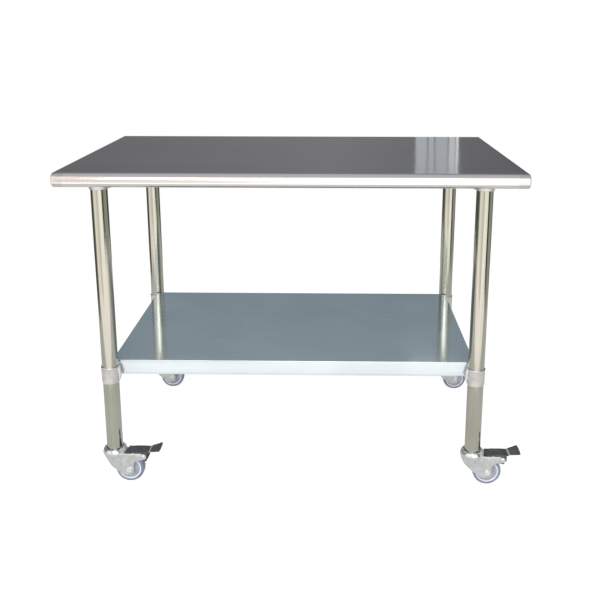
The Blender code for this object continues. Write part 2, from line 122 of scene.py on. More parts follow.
def finishMaterial(material, look, colour, roughness, **bumps):
    # a bump's depth in metres is in look under the same name; the broadest bump comes first
    links = material.node_tree.links
    shader = material.node_tree.nodes["Principled BSDF"]
    links.new(colour.socket, shader.inputs["Base Color"])
    links.new((look["roughness"] + roughness).socket, shader.inputs["Roughness"])
    normal = None
    for name, height in bumps.items():
        sockets = {"Height": height, "Distance": look[name + "Depth"], "Strength": 1.0}
        if normal:
            sockets["Normal"] = normal
        normal = colour.add("Bump", sockets=sockets)
    if normal:
        links.new(normal.socket, shader.inputs["Normal"])
    return material


def noise(place, scale, detail=2.0, stretch=(1, 1, 1), rough=0.5):
    mapped = place.add("Mapping", sockets={"Vector": place, "Scale": stretch})
    sockets = {"Vector": mapped, "Scale": scale, "Detail": detail, "Roughness": rough}
    return place.add("TexNoise", sockets=sockets)


def blend(factor, first, second):
    settings = {"data_type": "RGBA", "clamp_factor": True}
    return factor.add("Mix", settings, {0: factor, 6: first, 7: second}, out=2)


def tone(look, factor, start=0.3, end=0.7):
    return blend(factor.step(start, end), look["dark"], look["light"])


def rgb(*values):
    return (*values, 1.0)


topSteel = {
    "metallic": 1.0,
    "dark": rgb(0.53, 0.525, 0.52), "light": rgb(0.62, 0.615, 0.61),
    "polished": rgb(0.72, 0.7, 0.68),
    # painted highlight: the rolled nose is made lighter than the flat
    "rolled": rgb(0.9, 0.885, 0.87),
    "roughness": 0.08, "brushDepth": 0.00001, "waveDepth": 0.00045,
    "welds": (0.034, 0.026),    # in from the table's ends
    "rolls": (0.02, 0.012),    # in from its long edges
}


def makeTopSteel():
    material, place = startMaterial("brushedTop", topSteel)
    fine = noise(place, 1.0, 2.0, (9, 800, 800))
    band = noise(place, 1.0, 2.0, (0.8, 55, 55))
    cloud = noise(place, 3.5, 3.0)
    wave = noise(place, 1.0, 1.0, (14.0, 3.0, 6.0))
    colour = tone(topSteel, fine * 0.45 + band * 0.3 + cloud * 0.25, 0.35, 0.65)
    # the corner welds at both ends of the rolls are ground brighter
    low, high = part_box("top_panel")
    middle, half = (low + high) / 2, (high - low) / 2
    x, y = (place.add("SeparateXYZ", sockets={"Vector": place}, out=n) for n in "XY")
    ends = abs(x - middle.x).step(*(half.x - inset for inset in topSteel["welds"]))
    rolls = abs(y - middle.y).step(*(half.y - inset for inset in topSteel["rolls"]))
    # painted highlight along the rolled long edges
    colour = blend(rolls * 0.85, colour, topSteel["rolled"])
    weld = ends * rolls
    grind = noise(place, 1.0, 3.0, (700, 12, 60))
    colour = blend(weld * 0.75, colour, topSteel["polished"])
    roughness = fine * 0.05 + cloud * 0.04 + weld * grind * 0.12
    brush = fine * (1 - weld) + grind * weld * 0.5
    return finishMaterial(material, topSteel, colour, roughness, wave=wave, brush=brush)


legSteel = {
    "metallic": 1.0,
    "dark": rgb(0.51, 0.505, 0.435), "light": rgb(0.6, 0.595, 0.525),
    "roughness": 0.07, "dentDepth": 0.00004, "drawnDepth": 0.000003,
}


def makeLegSteel():
    material, place = startMaterial("satinTube", legSteel)
    drawn = noise(place, 1.0, 2.0, (420, 420, 3.0))
    rings = noise(place, 1.0, 2.0, (8, 8, 950))
    cloud = noise(place, 9.0, 3.0)
    colour = tone(legSteel, drawn * 0.6 + cloud * 0.4)
    roughness = drawn * 0.03 + rings * 0.04 + cloud * 0.04
    return finishMaterial(material, legSteel, colour, roughness, dent=cloud, drawn=drawn + rings)


shelfSteel = {
    "metallic": 0.68,
    "dark": rgb(0.6, 0.68, 0.73), "light": rgb(0.68, 0.76, 0.81),
    "scuff": rgb(0.76, 0.82, 0.86),
    "roughness": 0.075, "waveDepth": 0.00015, "rolledDepth": 0.000004,
}


def makeShelfSteel():
    material, place = startMaterial("satinShelf", shelfSteel)
    rolled = noise(place, 1.0, 3.0, (2.5, 480, 480))
    cloud = noise(place, 5.0, 4.0)
    wave = noise(place, 1.0, 1.0, (5, 2, 5))
    scratch = noise(place, 1.0, 1.0, (26, 900, 900), 0.3).step(0.71, 0.76)
    speck = noise(place, 260.0, 1.0).step(0.74, 0.78)
    base = tone(shelfSteel, rolled * 0.45 + cloud * 0.55, 0.35, 0.65)
    colour = blend(scratch * 0.2 + speck * 0.2, base, shelfSteel["scuff"])
    roughness = rolled * 0.03 + cloud * 0.04 + scratch * 0.08
    return finishMaterial(material, shelfSteel, colour, roughness, wave=wave, rolled=rolled)


galvanised = {
    "metallic": 0.9,
    "dark": rgb(0.4, 0.43, 0.45), "light": rgb(0.6, 0.63, 0.65),
    "roughness": 0.34, "spangles": 95.0,
    "bentDepth": 0.0001, "spangleDepth": 0.00001,
}


def makeGalvanised():
    material, place = startMaterial("galvanisedChannel", galvanised)
    bent = noise(place, 30.0, 2.0)
    sockets = {"Vector": place, "Scale": galvanised["spangles"]}
    spangles = place.add("TexVoronoi", {"feature": "F1"}, sockets, out="Color")
    shade = place.add("SeparateColor", sockets={"Color": spangles})
    cloud = noise(place, 12.0, 3.0)
    colour = blend(shade * 0.7 + cloud * 0.3, galvanised["dark"], galvanised["light"])
    roughness = shade * 0.14 + bent * 0.06
    return finishMaterial(material, galvanised, colour, roughness, bent=bent, spangle=shade)


castAluminium = {
    "metallic": 0.95,
    "dark": rgb(0.7, 0.695, 0.69), "light": rgb(0.82, 0.815, 0.81),
    "soot": rgb(0.48, 0.475, 0.47),
    "roughness": 0.3, "flowDepth": 0.0001, "grainDepth": 0.00003,
}


def makeCastAluminium():
    material, place = startMaterial("castCollar", castAluminium)
    grain = noise(place, 900.0, 3.0, rough=0.65)
    flow = noise(place, 60.0, 4.0)
    pits = noise(place, 420.0, 1.0).step(0.7, 0.76)
    colour = blend(pits * 0.45, tone(castAluminium, flow, 0.35, 0.65), castAluminium["soot"])
    roughness = grain * 0.16 + flow * 0.1
    return finishMaterial(material, castAluminium, colour, roughness, flow=flow, grain=grain - pits * 0.8)


zincPlate = {
    "metallic": 0.85,
    "dark": rgb(0.63, 0.67, 0.68), "light": rgb(0.8, 0.83, 0.85),
    "roughness": 0.08, "dentDepth": 0.0002, "peelDepth": 0.00001,
}


def makeZincPlate():
    material, place = startMaterial("zincPressing", zincPlate)
    cloud = noise(place, 70.0, 3.0)
    drawn = noise(place, 1.0, 2.0, (90, 90, 700))
    peel = noise(place, 650.0, 2.0)
    bloom = noise(place, 24.0, 4.0, rough=0.6)
    colour = tone(zincPlate, cloud * 0.5 + bloom * 0.5)
    roughness = bloom * 0.12 + drawn * 0.05
    return finishMaterial(material, zincPlate, colour, roughness, dent=cloud, peel=peel + drawn * 0.5)


boltSteel = {
    "metallic": 0.6,
    "dark": rgb(0.78, 0.78, 0.78), "light": rgb(0.94, 0.94, 0.94),
    "roughness": 0.12, "toolingDepth": 0.00002,
}


def makeBoltSteel():
    material, place = startMaterial("brightBolt", boltSteel)
    tooling = noise(place, 1.0, 2.0, (300, 2200, 300))
    cloud = noise(place, 190.0, 3.0)
    colour = tone(boltSteel, tooling * 0.4 + cloud * 0.6)
    return finishMaterial(material, boltSteel, colour, cloud * 0.16, tooling=tooling)


pedalEnamel = {
    "metallic": 0.15,
    "dark": rgb(0.06, 0.068, 0.074), "light": rgb(0.11, 0.122, 0.13),
    "worn": rgb(0.3, 0.32, 0.33),
    "roughness": 0.34, "peelDepth": 0.00006,
    "fixed": {"Coat Roughness": 0.2, "Coat Weight": 0.25},
}


def makePedalEnamel():
    material, place = startMaterial("slateEnamel", pedalEnamel)
    peel = noise(place, 480.0, 2.0)
    dust = noise(place, 45.0, 4.0)
    wear = noise(place, 1.0, 3.0, (60, 420, 160)).step(0.68, 0.8)
    colour = blend(wear * 0.35, tone(pedalEnamel, dust), pedalEnamel["worn"])
    return finishMaterial(material, pedalEnamel, colour, dust * 0.2 - wear * 0.08, peel=peel)


softWheel = {
    "dust": rgb(0.42, 0.41, 0.42),
    "grainDepth": 0.00003,
    "fixed": {"IOR": 1.49, "Subsurface Weight": 0.12, "Subsurface Scale": 0.004},
}
wheelParts = {
    # dark, light, roughness, fineness of the grain
    "tread": (rgb(0.2, 0.235, 0.37), rgb(0.29, 0.325, 0.48), 0.28, 600.0),
    "rim": (rgb(0.86, 0.91, 0.96), rgb(0.93, 0.96, 0.99), 0.2, 900.0),
    "disc": (rgb(0.38, 0.42, 0.5), rgb(0.54, 0.59, 0.67), 0.22, 900.0),
}


def makeWheelPlastic(name):
    look = dict(softWheel, **dict(zip(("dark", "light", "roughness", "grain"), wheelParts[name])))
    material, place = startMaterial(name + "Plastic", look)
    cloud = noise(place, 40.0, 3.0)
    grain = noise(place, look["grain"], 2.0)
    dust = noise(place, 260.0, 3.0).step(0.55, 0.8)
    colour = blend(dust * 0.18, tone(look, cloud), look["dust"])
    return finishMaterial(material, look, colour, cloud * 0.12 + dust * 0.2, grain=grain)


blackRubber = {
    "dark": rgb(0.01, 0.01, 0.011), "light": rgb(0.03, 0.03, 0.032),
    "roughness": 0.55, "grainDepth": 0.00006,
}


def makeBlackRubber():
    material, place = startMaterial("blackRubber", blackRubber)
    grain = noise(place, 1100.0, 3.0)
    cloud = noise(place, 120.0, 3.0)
    return finishMaterial(material, blackRubber, tone(blackRubber, cloud), grain * 0.2, grain=grain)


materials = {
    "top": makeTopSteel(),
    "leg": makeLegSteel(),
    "shelf": makeShelfSteel(),
    "channel": makeGalvanised(),
    "cast": makeCastAluminium(),
    "zinc": makeZincPlate(),
    "bolt": makeBoltSteel(),
    "pedal": makePedalEnamel(),
    "rubber": makeBlackRubber(),
}
materials.update((part, makeWheelPlastic(part)) for part in wheelParts)
print("materials ready:", len(materials))


def bevelEdges(bm, edges, width, segments):
    return bmesh.ops.bevel(
        bm, geom=edges, offset=width, offset_type="OFFSET", segments=segments, profile=0.5,
        affect="EDGES", material=-1, clamp_overlap=True)


def allOf(bm):
    return bm.faces[:] + bm.edges[:] + bm.verts[:]


def vertsOf(made):
    return [item for item in made if isinstance(item, bmesh.types.BMVert)]


def inMicrons(value):
    return int(value * 1000000 + 0.5)


def boxShape(low, high, rounding=0.0, segments=2):
    bm = bmesh.new()
    bmesh.ops.create_cube(bm, size=1.0)
    low, high = Vector(low), Vector(high)
    bmesh.ops.scale(bm, vec=high - low, verts=bm.verts)
    bmesh.ops.translate(bm, vec=(low + high) / 2, verts=bm.verts)
    if rounding:
        bevelEdges(bm, bm.edges[:], rounding, segments)
    return bm


def turnedShape(profile, steps=64):
    # (radius, height) points turned about Z; a profile that starts off the axis is closed into a ring
    bm = bmesh.new()
    points = [bm.verts.new((radius, 0, height)) for radius, height in profile]
    edges = [bm.edges.new(pair) for pair in zip(points, points[1:])]
    if profile[0][0] > 0:
        edges.append(bm.edges.new((points[-1], points[0])))
    bmesh.ops.spin(
        bm, geom=points + edges, cent=(0, 0, 0), axis=(0, 0, 1), dvec=(0, 0, 0), angle=math.tau,
        steps=steps, use_merge=True)
    bmesh.ops.remove_doubles(bm, verts=bm.verts, dist=0.000001)
    return bm


def plateShape(outline, low, high, rounding, plane="XZ"):
    # an outline given a thickness from low to high, across Y or up Z
    bm = bmesh.new()
    axis = 1 if plane == "XZ" else 2
    points = [bm.verts.new((a, low, b) if axis == 1 else (a, b, low)) for a, b in outline]
    rise = Vector()
    rise[axis] = high - low
    face = bm.faces.new(points)
    grown = bmesh.ops.extrude_face_region(bm, geom=[face])["geom"]
    bmesh.ops.translate(bm, vec=rise, verts=vertsOf(grown))
    bmesh.ops.recalc_face_normals(bm, faces=bm.faces)
    rims = [e for e in bm.edges if len({inMicrons(v.co[axis]) for v in e.verts}) == 1]
    bevelEdges(bm, rims, rounding, 2)
    return bm


def loftShape(sections):
    # one strip of faces between each section and the next
    bm = bmesh.new()
    rows = []
    for section in sections:
        points = [bm.verts.new(point) for point in section]
        rows.append([bm.edges.new(pair) for pair in zip(points, points[1:])])
    for first, second in zip(rows, rows[1:]):
        bmesh.ops.bridge_loops(bm, edges=first + second)
    return bm


def thicken(bm, thickness, facing):
    # the drawn side is the outer one, mostly towards facing, and the wall grows behind it
    bmesh.ops.recalc_face_normals(bm, faces=bm.faces)
    if sum(face.normal.dot(Vector(facing)) * face.calc_area() for face in bm.faces) < 0:
        bmesh.ops.reverse_faces(bm, faces=bm.faces)
    bmesh.ops.solidify(bm, geom=allOf(bm), thickness=thickness)
    return bm


def cutAcross(bm, low, high, margin):
    # cuts just inside the bends, so that the flat between them keeps its own normals
    for axis in (0, 1):
        for edge, inward in ((low, margin), (high, -margin)):
            place, normal = [0.0, 0.0, 0.0], [0.0, 0.0, 0.0]
            place[axis], normal[axis] = edge[axis] + inward, 1.0
            bmesh.ops.bisect_plane(bm, geom=allOf(bm), dist=0.00001, plane_co=place, plane_no=normal)
    return bm


def moved(bm, place=(0, 0, 0), turn=None):
    if turn:
        bmesh.ops.rotate(bm, cent=(0, 0, 0), matrix=turn, verts=bm.verts)
    bmesh.ops.translate(bm, vec=place, verts=bm.verts)
    return bm


def joined(*shapes):
    whole = bmesh.new()
    for shape in shapes:
        mesh = bpy.data.meshes.new("part")
        bmesh.ops.recalc_face_normals(shape, faces=shape.faces)
        shape.to_mesh(mesh)
        shape.free()
        whole.from_mesh(mesh)
        bpy.data.meshes.remove(mesh)
    return whole


alongY = Matrix.Rotation(math.pi / 2, 3, "X")      # turns +Z to -Y
alongX = Matrix.Rotation(math.pi / 2, 3, "Y")      # turns +Z to +X
halfTurn = Matrix.Rotation(math.pi, 3, "Z")


def arc(centre, radius, start, end, count):
    angles = [math.radians(start + (end - start) * i / count) for i in range(count + 1)]
    return [(centre[0] + radius * math.cos(a), centre[1] + radius * math.sin(a)) for a in angles]


def makePiece(name, bm, finishes, body, node, sharp=32):
    # finishes: one key of materials, or several for a piece whose faces name their own
    finishes = [finishes] if isinstance(finishes, str) else finishes
    name += "".join(titled(corner) for corner in corners if node.endswith(corner))
    mesh = bpy.data.meshes.new(name)
    bm.to_mesh(mesh)
    bm.free()
    mesh.shade_smooth()
    mesh.set_sharp_from_angle(angle=math.radians(sharp))
    for finish in finishes:
        mesh.materials.append(materials[finish])
    piece = bpy.data.objects.new(name, mesh)
    bpy.context.scene.collection.objects.link(piece)
    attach(piece, body)
    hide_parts(node)


def hexShape(radius, low, high, chamfer):
    # a hexagon bar along Z with turned chamfers
    bm = bmesh.new()
    bmesh.ops.create_cone(
        bm, cap_ends=True, segments=6, radius1=radius, radius2=radius, depth=high - low)
    bmesh.ops.translate(bm, vec=(0, 0, (low + high) / 2), verts=bm.verts)
    rims = [e for e in bm.edges if abs(e.verts[0].co.z - e.verts[1].co.z) < 0.00001]
    bevelEdges(bm, rims, chamfer, 2)
    return bm


topSheet = {
    "rollShare": 0.49, "noseSegments": 14,      # the roll's radius as a share of the sheet's drop
    "bend": 0.0026, "bendSegments": 4, "flatMargin": 0.001, "lip": 0.012, "sheet": 0.0015,
}


def lowestAndLargest(face):
    return inMicrons(face.calc_center_median().z) // 100, -face.calc_area()


def makeTopPanel():
    low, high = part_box("top_panel")
    bm = boxShape(low, high)
    length, roll = high.x - low.x, (high.z - low.z) * topSheet["rollShare"]
    longEdges = [e for e in bm.edges if abs(e.verts[0].co.x - e.verts[1].co.x) > length / 2]
    bevelEdges(bm, longEdges, roll, topSheet["noseSegments"])
    atEnd = [e for e in bm.edges if abs(e.verts[0].co.x - e.verts[1].co.x) < 0.0001]
    bevelEdges(bm, atEnd, topSheet["bend"], topSheet["bendSegments"])
    # open underneath, with a lip left all round
    under = min(bm.faces, key=lowestAndLargest)
    bmesh.ops.inset_region(bm, faces=[under], thickness=topSheet["lip"], use_even_offset=True)
    bmesh.ops.delete(bm, geom=[under], context="FACES_ONLY")
    cutAcross(bm, low, high, roll + topSheet["flatMargin"])
    thicken(bm, topSheet["sheet"], (0, 0, 1))
    makePiece("topPanel", bm, "top", "frame", "top_panel")


hatChannel = {
    "sheet": 0.0015, "crown": 0.05, "bend": 0.0022, "weldPitch": 0.09, "weldRadius": 0.0032,
    # share of the weld's radius, height
    "weld": [(0, 0.0002), (0.6, 0.0001), (0.8, -0.0003), (1, 0.0003)],
}


def makeChannel(node, name, body):
    low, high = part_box(node)
    size, middle = high - low, (low + high) / 2
    lengthways = size.x > size.y
    length, wide = (size.x, size.y) if lengthways else (size.y, size.x)
    crown, brim, sheet = hatChannel["crown"] / 2, wide / 2, hatChannel["sheet"]
    top, bottom = high.z, low.z + sheet
    # drawn along the upper face, and thickened downwards
    section = [(-brim, top), (-crown + sheet / 2, top), (-crown + sheet / 2, bottom)]
    section += [(-across, height) for across, height in reversed(section)]
    ends = (-length / 2, length / 2)
    bm = loftShape([[(end, across, height) for across, height in section] for end in ends])
    bends = [e for e in bm.edges if len(e.link_faces) == 2]
    bevelEdges(bm, bends, hatChannel["bend"], 3)
    thicken(bm, sheet, (0, 0, 1))
    welds = []
    pitch, radius = hatChannel["weldPitch"], hatChannel["weldRadius"]
    count = int(length / pitch)
    for index in range(count):
        along = (index + 0.5 - count / 2) * pitch
        for hand in (-1, 1):
            dimple = turnedShape([(share * radius, height) for share, height in hatChannel["weld"]], 16)
            welds.append(moved(dimple, (along, hand * (crown + brim) / 2, top - sheet)))
    turn = None if lengthways else Matrix.Rotation(math.pi / 2, 3, "Z")
    whole = moved(joined(bm, *welds), (middle.x, middle.y, 0), turn)
    makePiece(name, whole, "channel", body, node)


socket = {
    "plate": 0.08, "thick": 0.005, "corner": 0.009, "edge": 0.0008, "gap": 0.0005,
    "sleeveTop": 0.0036, "sleeveLow": 0.0018, "rivetShare": 0.76,
    # radius, distance out from the bore
    "boss": mm([(0, 0.8), (7.8, 0.8), (6.8, 6), (6, 6.8), (4.4, 6.8), (4.2, 5), (0, 5)]),
    "rivet": mm([(0, -1.2), (1, -1.2), (1.6, -2.1), (2.8, -1.9), (3.8, -1), (4.1, 0.3), (0, 0.3)]),
}


def boreOf(corner):
    low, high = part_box("leg_" + corner)
    return (high.x - low.x) / 2 + socket["gap"]


def makeSocket(corner, side):
    node = "leg_socket_" + corner
    low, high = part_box(node)
    axis = middleOf("leg_" + corner)
    screw = middleOf("socket_screw_" + corner)
    half, under = socket["plate"] / 2, high.z - socket["thick"]
    r = socket["corner"]
    outline = []
    for index, (sx, sy) in enumerate(((1, 1), (-1, 1), (-1, -1), (1, -1))):
        outline += arc((sx * (half - r), sy * (half - r)), r, index * 90, index * 90 + 90, 6)
    plate = plateShape(outline, under, high.z, socket["edge"], "XY")
    bore = boreOf(corner)
    outer, thin = bore + socket["sleeveTop"], bore + socket["sleeveLow"]
    sleeve = turnedShape([
        (bore, under + 0.001), (outer + 0.0012, under + 0.001), (outer + 0.0012, under),
        (outer + 0.0006, under - 0.001), (outer, under - 0.004), (thin + 0.0006, low.z + 0.002),
        (thin - 0.0004, low.z + 0.0004), (thin - 0.0014, low.z), (bore + 0.0006, low.z),
        (bore, low.z + 0.0006)])
    boss = turnedShape([(radius, bore + out) for radius, out in socket["boss"]], 32)
    boss = moved(moved(boss, turn=alongX), (0, 0, screw.z))
    boss = moved(boss, turn=halfTurn if side > 0 else None)
    reach = half * socket["rivetShare"]
    spots = [(sx * reach, sy * reach, under) for sx in (-1, 1) for sy in (-1, 1)]
    heads = [moved(turnedShape(socket["rivet"], 20), spot) for spot in spots]
    whole = moved(joined(plate, sleeve, boss, *heads), (axis.x, axis.y, 0))
    makePiece("legSocket", whole, "cast", "frame", node)


setScrew = {
    "radius": 0.004, "chamfer": 0.0005, "key": 0.0023, "keyDepth": 0.003, "keyMouth": 1.25,
    "keyLead": 0.0004, "keyStart": 0.0006,
}


def makeSetScrew(kind, corner, side, body):
    node = kind + "_" + corner
    low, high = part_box(node)
    length, radius, key = high.x - low.x, setScrew["radius"], setScrew["key"]
    chamfer = setScrew["chamfer"]
    bm = turnedShape([
        (0, 0), (radius - chamfer, 0), (radius, chamfer), (radius, length - chamfer),
        (radius - chamfer, length), (key * setScrew["keyMouth"], length),
        (key, length - setScrew["keyLead"])], 32)
    # the key's hexagon stands below the open end
    rim = [e for e in bm.edges if len(e.link_faces) == 1]
    made = bmesh.ops.create_circle(bm, cap_ends=False, segments=6, radius=key)["verts"]
    bmesh.ops.translate(bm, vec=(0, 0, length - setScrew["keyStart"]), verts=made)
    hexagon = [e for e in bm.edges if all(v in made for v in e.verts)]
    bmesh.ops.bridge_loops(bm, edges=rim + hexagon)
    deep = bmesh.ops.extrude_edge_only(bm, edges=hexagon)["geom"]
    bmesh.ops.translate(bm, vec=(0, 0, -setScrew["keyDepth"]), verts=vertsOf(deep))
    bmesh.ops.contextual_create(bm, geom=[e for e in deep if isinstance(e, bmesh.types.BMEdge)])
    bmesh.ops.recalc_face_normals(bm, faces=bm.faces)
    # the open end looks to the table's middle
    turn = alongX if side < 0 else Matrix.Rotation(-math.pi / 2, 3, "Y")
    near = low.x if side < 0 else high.x
    middle = (low + high) / 2
    name = kind.split("_")[0] + "Screw"
    makePiece(name, moved(bm, (near, middle.y, middle.z), turn), "bolt", body, node)


tube = {"wall": 0.0015, "chamfer": 0.0006, "endRow": 0.02, "steps": 96}


def makeLeg(corner):
    node = "leg_" + corner
    low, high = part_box(node)
    outer = (high.x - low.x) / 2
    inner, chamfer, row = outer - tube["wall"], tube["chamfer"], tube["endRow"]
    middle = (low + high) / 2
    bm = turnedShape([
        (outer, high.z - chamfer), (outer, high.z - row), (outer, low.z + row), (outer, low.z + chamfer),
        (outer - chamfer, low.z), (inner + chamfer / 2, low.z), (inner, low.z + chamfer / 2),
        (inner, high.z - chamfer), (inner + chamfer / 2, high.z), (outer - chamfer, high.z)], tube["steps"])
    makePiece("legTube", moved(bm, (middle.x, middle.y, 0)), "leg", "frame", node)


shelfSheet = {
    "sheet": 0.0012, "notch": 0.029, "notchSteps": 14, "bend": 0.0024, "bendSegments": 4,
    "flatMargin": 0.004,
}


def makeShelfPanel():
    low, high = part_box("shelf_panel")
    flange = high.z - low.z
    notch = shelfSheet["notch"]
    outline = []
    for corner in ("rear_right", "rear_left", "front_left", "front_right"):
        axis = middleOf("leg_" + corner)
        sx, sy = corners[corner]
        edgeX = high.x if sx > 0 else low.x
        edgeY = high.y if sy > 0 else low.y
        # where the notch circle meets the shelf's end and its long side
        atEnd = axis.y - sy * math.sqrt(notch ** 2 - (axis.x - edgeX) ** 2)
        atSide = axis.x - sx * math.sqrt(notch ** 2 - (axis.y - edgeY) ** 2)
        first = math.degrees(math.atan2(atEnd - axis.y, edgeX - axis.x)) % 360
        last = math.degrees(math.atan2(edgeY - axis.y, atSide - axis.x)) % 360
        if sx * sy < 0:
            first, last = last, first
        turn = (last - first + 540) % 360 - 180
        outline += arc((axis.x, axis.y), notch, first, first + turn, shelfSheet["notchSteps"])
    bm = bmesh.new()
    points = [bm.verts.new((x, y, high.z)) for x, y in outline]
    bm.faces.new(points)
    straight = [e for e in bm.edges if e.calc_length() > 0.2]
    grown = bmesh.ops.extrude_edge_only(bm, edges=straight)["geom"]
    bmesh.ops.translate(bm, vec=(0, 0, -flange), verts=vertsOf(grown))
    bends = [e for e in bm.edges if len(e.link_faces) == 2]
    bevelEdges(bm, bends, shelfSheet["bend"], shelfSheet["bendSegments"])
    cutAcross(bm, low, high, shelfSheet["flatMargin"])
    thicken(bm, shelfSheet["sheet"], (0, 0, 1))
    makePiece("shelfPanel", bm, "shelf", "undershelf", "shelf_panel")


collar = {
    "top": 0.35, "bottom": 0.302, "radiusTop": 0.025, "radiusLow": 0.0239,
    "wedge": 0.0072, "wedgeEdge": 0.0016, "web": 0.003, "webReach": 0.084, "webEdge": 0.001,
    "padThick": 0.004, "padSink": 0.0003, "padGap": 0.0022, "padCut": 0.027, "padEdge": 0.0006,
    "reach": 0.082,
    # radius, distance out from the ring
    "mouth": mm([(0, 0), (6.2, 0), (5.8, 4.8), (5.3, 5.2), (4.5, 5.2), (4.2, 4.4), (0, 4.4)]),
}


def makeCollar(corner, side, end):
    node = "shelf_collar_" + corner
    axis = middleOf("leg_" + corner)
    bore = boreOf(corner)
    top, bottom = collar["top"], collar["bottom"]
    big, small = collar["radiusTop"], collar["radiusLow"]
    ring = turnedShape([
        (bore, top - 0.0006), (bore + 0.0006, top), (big - 0.0009, top), (big, top - 0.0012),
        (big, top - 0.0052), (big - 0.0004, top - 0.006), (small + 0.0001, bottom + 0.004),
        (small, bottom + 0.0012), (small - 0.0006, bottom), (bore + 0.0004, bottom),
        (bore, bottom + 0.0004)], 72)
    height = middleOf("shelf_screw_" + corner).z
    # wedge-shaped boss that takes the set screw, towards the table's middle
    wedge = plateShape([
        (bore + 0.0008, top - 0.002), (big + 0.0008, top - 0.0024), (big + 0.0042, height + 0.0068),
        (big + 0.0042, height - 0.006), (small + 0.0012, bottom + 0.004),
        (bore + 0.0008, bottom + 0.004)], -collar["wedge"], collar["wedge"], collar["wedgeEdge"])
    mouth = turnedShape([(radius, big + out) for radius, out in collar["mouth"]], 32)
    mouth = moved(moved(mouth, turn=alongX), (0, 0, height))
    boss = joined(wedge, mouth)
    boss = moved(boss, turn=halfTurn if side > 0 else None)
    shelfLow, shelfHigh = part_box("shelf_panel")
    padTop = shelfHigh.z - shelfSheet["sheet"] - collar["padSink"]
    padLow = padTop - collar["padThick"]
    gapX = abs(axis.x - (shelfHigh.x if side > 0 else shelfLow.x)) + collar["padGap"]
    gapY = abs(axis.y - (shelfHigh.y if end > 0 else shelfLow.y)) + collar["padGap"]
    reach, cut = collar["reach"], collar["padCut"]
    pad = plateShape([
        (-side * x, -end * y) for x, y in (
            (gapX, cut), (cut * 0.98, cut * 0.98), (cut, gapY), (reach, gapY), (reach, gapY + 0.006),
            (reach - 0.004, gapY + 0.01), (gapX + 0.014, reach - 0.004), (gapX + 0.01, reach),
            (gapX, reach))], padLow, padTop, collar["padEdge"], "XY")
    # upright web under the pad, on the diagonal
    root, tip, webLow, webTop = bore + 0.001, collar["webReach"], bottom + 0.012, padLow + 0.001
    web = plateShape([
        (root, webLow), (0.03, webLow), (0.06, padLow - 0.014), (tip, padLow - 0.002), (tip, webTop),
        (root, webTop)], -collar["web"], collar["web"], collar["webEdge"])
    web = moved(web, turn=Matrix.Rotation(math.atan2(-end, -side), 3, "Z"))
    whole = moved(joined(ring, boss, pad, web), (axis.x, axis.y, 0))
    makePiece("shelfCollar", whole, "cast", "undershelf", node)


# casters are drawn with X behind the swivel axis and Z above the floor
caster = {
    "bladeInner": 0.017, "bladeOuter": 0.0196, "fold": 0.0185, "crown": 0.034, "sheet": 0.0024,
    "rubbed": 0.0859,
    "dome": mm([
        (7.6, 97.4), (23.55, 97.4), (23.55, 103.4), (24.15, 104), (26.2, 104), (28.2, 103.4),
        (30.2, 101.8), (32, 99), (33.3, 95.6), (34, 92), (34, 88.6), (33.4, 86.6), (32.4, 85.6),
        (31.4, 86.2), (31.4, 90.5), (30, 93.5), (28.5, 94.4), (7.6, 94.4)]),
    "axleRing": mm([(8.5, 0), (12.5, 0), (12.2, 0.5), (11.2, 0.8), (8.5, 0.8)]),
    "ridgeSides": (0.0172, 0.0206), "ridgeFrom": (0.0175, 0.0862), "ridgeEdge": 0.0011,
    "ridgeTo": {True: (0.0775, 0.0896), False: (0.0262, 0.0896)},      # with a brake and without
    "tabSides": (0.0208, 0.0221), "tabEdge": 0.0003,
    "tab": mm([(53, 86.5), (57.5, 86.5), (57, 92.5), (56.2, 93.4), (54.5, 93.4), (53.6, 92.5)]),
}
stem = {
    "pin": 0.006, "lead": 0.001,
    "plate": mm([(6, 101.7), (20.4, 101.7), (21.4, 101), (21.4, 98.4), (20.8, 97.7), (7.2, 97.7)]),
    # radius, distance above the stem's low end
    "foot": mm([(7.2, 4), (13, 4), (14, 3.2), (13.4, 0.6), (12.2, 0), (0, 0)]),
}


def swivelAxis(corner):
    return middleOf("leg_" + corner) * Vector((1, 1, 0))


def makeStem(corner):
    node = "caster_stem_" + corner
    low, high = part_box(node)
    pin, lead = stem["pin"], stem["lead"]
    top = [(0, high.z), (pin - lead, high.z), (pin, high.z - lead)]
    bm = turnedShape(top + stem["plate"] + [(radius, low.z + rise) for radius, rise in stem["foot"]])
    makePiece("stemPlate", moved(bm, swivelAxis(corner)), "zinc", "frame", node)


housing = {
    "inset": 0.0006, "top": 0.089, "tall": 0.065, "rows": 20,
    # the front runs back below the shoulder while the bulge fades into the flat cheeks
    "shoulder": 0.0885, "fall": 0.0265, "fallLimit": 1.6, "lean": 0.0042, "curve": 0.0056, "fade": 1.35,
    "cutPlace": (-0.024, 0, 0.062), "cutFacing": (-0.0377, 0, -0.0486),
}


def shellSection(z):
    # the pressed housing at one height: flat cheeks that run into a round front
    crown, flat, fold = caster["crown"] - housing["inset"], caster["bladeOuter"], caster["fold"]
    drop = min(max((housing["shoulder"] - z) / housing["fall"], 0.0), housing["fallLimit"])
    front = crown - housing["lean"] * drop - housing["curve"] * drop ** 2
    bulge = (crown - flat) * max(0.0, 1 - drop) ** housing["fade"]
    points = []
    for i in range(9):
        along = fold * (1 - i / 9)
        share = along / fold
        points.append((along, flat + bulge * (1 - share) ** 2 * (1 + 2 * share)))
    for i in range(15):
        angle = math.pi / 2 * i / 14
        points.append((-front * math.sin(angle), (flat + bulge) * math.cos(angle)))
    left = [(x, -y, z) for x, y in points]
    return left + [(x, y, z) for x, y in reversed(points[:-1])]


